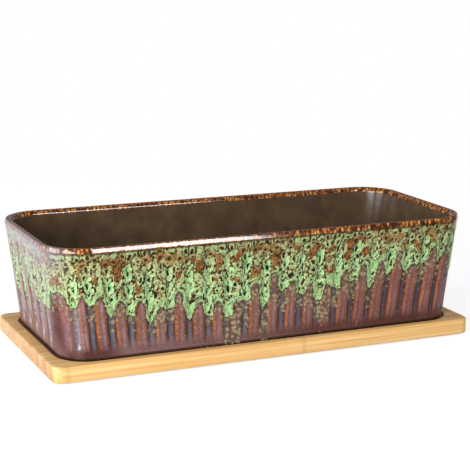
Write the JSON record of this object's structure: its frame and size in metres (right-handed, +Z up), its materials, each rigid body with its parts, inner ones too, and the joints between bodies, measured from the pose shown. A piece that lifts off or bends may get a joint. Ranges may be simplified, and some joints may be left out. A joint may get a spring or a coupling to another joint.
{
  "type": "rectangular ceramic planter",
  "caption": "Low rectangular fluted ceramic planter with a rounded lip, drain holes and mesh screens, standing in the shallow recess of a padded bamboo tray.",
  "frame": {"origin": "on the surface the tray pads stand on, under the middle of the tray", "axes": "+X along the planter's length, -Y towards the front that the picture shows, +Z up"},
  "size_m": [0.2792, 0.123, 0.0786],
  "materials": {
    "bamboo": "smooth sanded bamboo under a thin satin oil",
    "pad_rubber": "matt",
    "reactive_glaze": "glossy reactive glaze, green runs over plum and rust",
    "screen_plastic": "moulded, satin"
  },
  "bodies": {
    "tray": {"bamboo_tray": "bamboo", "tray_pad_front_left": "pad_rubber", "tray_pad_front_right": "pad_rubber", "tray_pad_back_left": "pad_rubber", "tray_pad_back_right": "pad_rubber"},
    "pot": {"ceramic_pot": "reactive_glaze"},
    "screen_1": {"drain_screen_1": "screen_plastic"},
    "screen_2": {"drain_screen_2": "screen_plastic"},
    "screen_3": {"drain_screen_3": "screen_plastic"}
  },
  "joints": [
    {"name": "pot_lift", "type": "slide", "parent": "tray", "child": "pot", "axis": [0, 0, 1], "range_m": [0, 0.08]},
    {"name": "screen_lift_1", "type": "slide", "parent": "pot", "child": "screen_1", "axis": [0, 0, 1], "range_m": [0, 0.08]},
    {"name": "screen_lift_2", "type": "slide", "parent": "pot", "child": "screen_2", "axis": [0, 0, 1], "range_m": [0, 0.08]},
    {"name": "screen_lift_3", "type": "slide", "parent": "pot", "child": "screen_3", "axis": [0, 0, 1], "range_m": [0, 0.08]}
  ]
}
